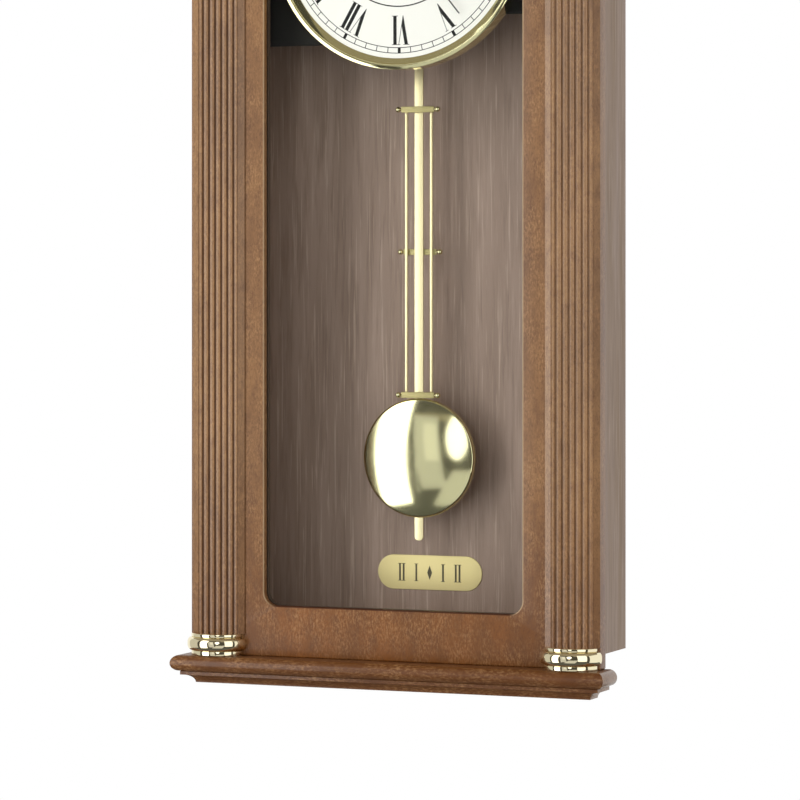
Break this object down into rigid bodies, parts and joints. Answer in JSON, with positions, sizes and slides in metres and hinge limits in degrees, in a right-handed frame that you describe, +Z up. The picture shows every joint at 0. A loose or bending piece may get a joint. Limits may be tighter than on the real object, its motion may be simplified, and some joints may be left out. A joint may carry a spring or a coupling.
{
  "type": "regulator wall clock",
  "caption": "Wall clock with a glazed walnut door between fluted pilasters, a white dial with brass bezel, and a swinging pendulum with a polished bob.",
  "frame": {"origin": "on the wall plane at the case's flat back, where the axis of the hands meets it", "axes": "+Z up, front faces -Y, +X to the viewer's right, the wall is the plane y = 0"},
  "size_m": [0.352, 0.104, 0.7437],
  "materials": {
    "walnut": "stained and satin lacquered",
    "walnut_bead": "dark stained",
    "laminate": "grey-brown woodgrain laminate",
    "polished_brass": "polished and lacquered",
    "satin_brass": "satin, pale gold",
    "steel": "zinc plated",
    "copper": "enamelled copper winding",
    "black_board": "matt black",
    "black_paint": "black lacquer",
    "dial_white": "white enamel print",
    "black_plastic": "moulded",
    "wheel_plastic": "moulded acetal",
    "circuit": "solder mask",
    "battery_wrap": "plain printed sleeve",
    "magnet": "sintered",
    "glass": "clear float glass"
  },
  "bodies": {
    "case": {"back_panel": "laminate", "case_side_left": "laminate", "case_side_right": "laminate", "case_top": "laminate", "case_bottom": "laminate", "board_cleat_left": "laminate", "board_cleat_right": "laminate", "hanger_plate": "steel", "hinge_case_upper": "steel", "hinge_case_lower": "steel", "pendulum_pivot_pin": "steel", "contact_positive": "steel", "contact_negative": "steel", "beat_plate": "satin_brass", "mounting_nut": "satin_brass", "dial_board": "black_board", "dial_plate": "dial_white", "bezel_ring": "polished_brass", "movement_front_shell": "black_plastic", "movement_back_cover": "black_plastic", "catch_magnet": "black_plastic", "train_plate": "wheel_plastic", "circuit_board": "circuit", "motor_coil": "copper", "battery": "battery_wrap"},
    "minute_arbor": {"centre_wheel_arbor": "wheel_plastic", "minute_hand": "black_paint", "hand_nut": "polished_brass", "setting_knob": "black_plastic"},
    "hour_pipe": {"hour_wheel": "wheel_plastic", "hour_hand": "black_paint"},
    "minute_wheel": {"minute_wheel": "wheel_plastic"},
    "third_wheel": {"third_wheel": "wheel_plastic"},
    "rotor": {"motor_rotor": "magnet"},
    "pendulum": {"pendulum_hanger": "black_plastic", "drive_magnet": "magnet", "pendulum_rod": "satin_brass", "wire_left": "satin_brass", "wire_right": "satin_brass", "crossbar_upper": "satin_brass", "crossbar_middle": "satin_brass", "crossbar_lower": "satin_brass", "bob_back_plate": "satin_brass", "bob_front_shell": "polished_brass", "bob_screw": "steel"},
    "door": {"door_frame": "walnut", "pilaster_left": "walnut", "pilaster_right": "walnut", "base_moulding": "walnut", "cornice_moulding": "walnut", "brass_base_left": "polished_brass", "brass_base_right": "polished_brass", "brass_capital_left": "polished_brass", "brass_capital_right": "polished_brass", "door_glass": "glass", "glass_bead": "walnut_bead", "hinge_door_upper": "steel", "hinge_door_lower": "steel", "catch_strike": "steel"}
  },
  "joints": [
    {"name": "door_swing", "type": "hinge", "parent": "case", "child": "door", "pos_m": [-0.1605, -0.066, 0], "axis": [0, 0, -1], "range_deg": [0, 105]},
    {"name": "pendulum_swing", "type": "hinge", "parent": "case", "child": "pendulum", "pos_m": [0, 0, -0.024], "axis": [0, 1, 0], "range_deg": [-4, 4]},
    {"name": "minute_turn", "type": "hinge", "parent": "case", "child": "minute_arbor", "pos_m": [0, 0, 0], "axis": [0, 1, 0], "continuous": true},
    {"name": "hour_turn", "type": "hinge", "parent": "case", "child": "hour_pipe", "pos_m": [0, 0, 0], "axis": [0, 1, 0], "continuous": true},
    {"name": "minute_wheel_turn", "type": "hinge", "parent": "case", "child": "minute_wheel", "pos_m": [-0.01039, 0, 0.006], "axis": [0, 1, 0], "continuous": true},
    {"name": "third_wheel_turn", "type": "hinge", "parent": "case", "child": "third_wheel", "pos_m": [0.01393, 0, -0.00975], "axis": [0, 1, 0], "continuous": true},
    {"name": "rotor_turn", "type": "hinge", "parent": "case", "child": "rotor", "pos_m": [0.01643, 0, -0.02393], "axis": [0, 1, 0], "continuous": true}
  ],
  "couplings": [
    {"joint": "hour_turn", "follows": "minute_turn", "ratio": 0.083333},
    {"joint": "minute_wheel_turn", "follows": "minute_turn", "ratio": -0.33333},
    {"joint": "third_wheel_turn", "follows": "minute_turn", "ratio": -7.5},
    {"joint": "rotor_turn", "follows": "minute_turn", "ratio": 60}
  ]
}
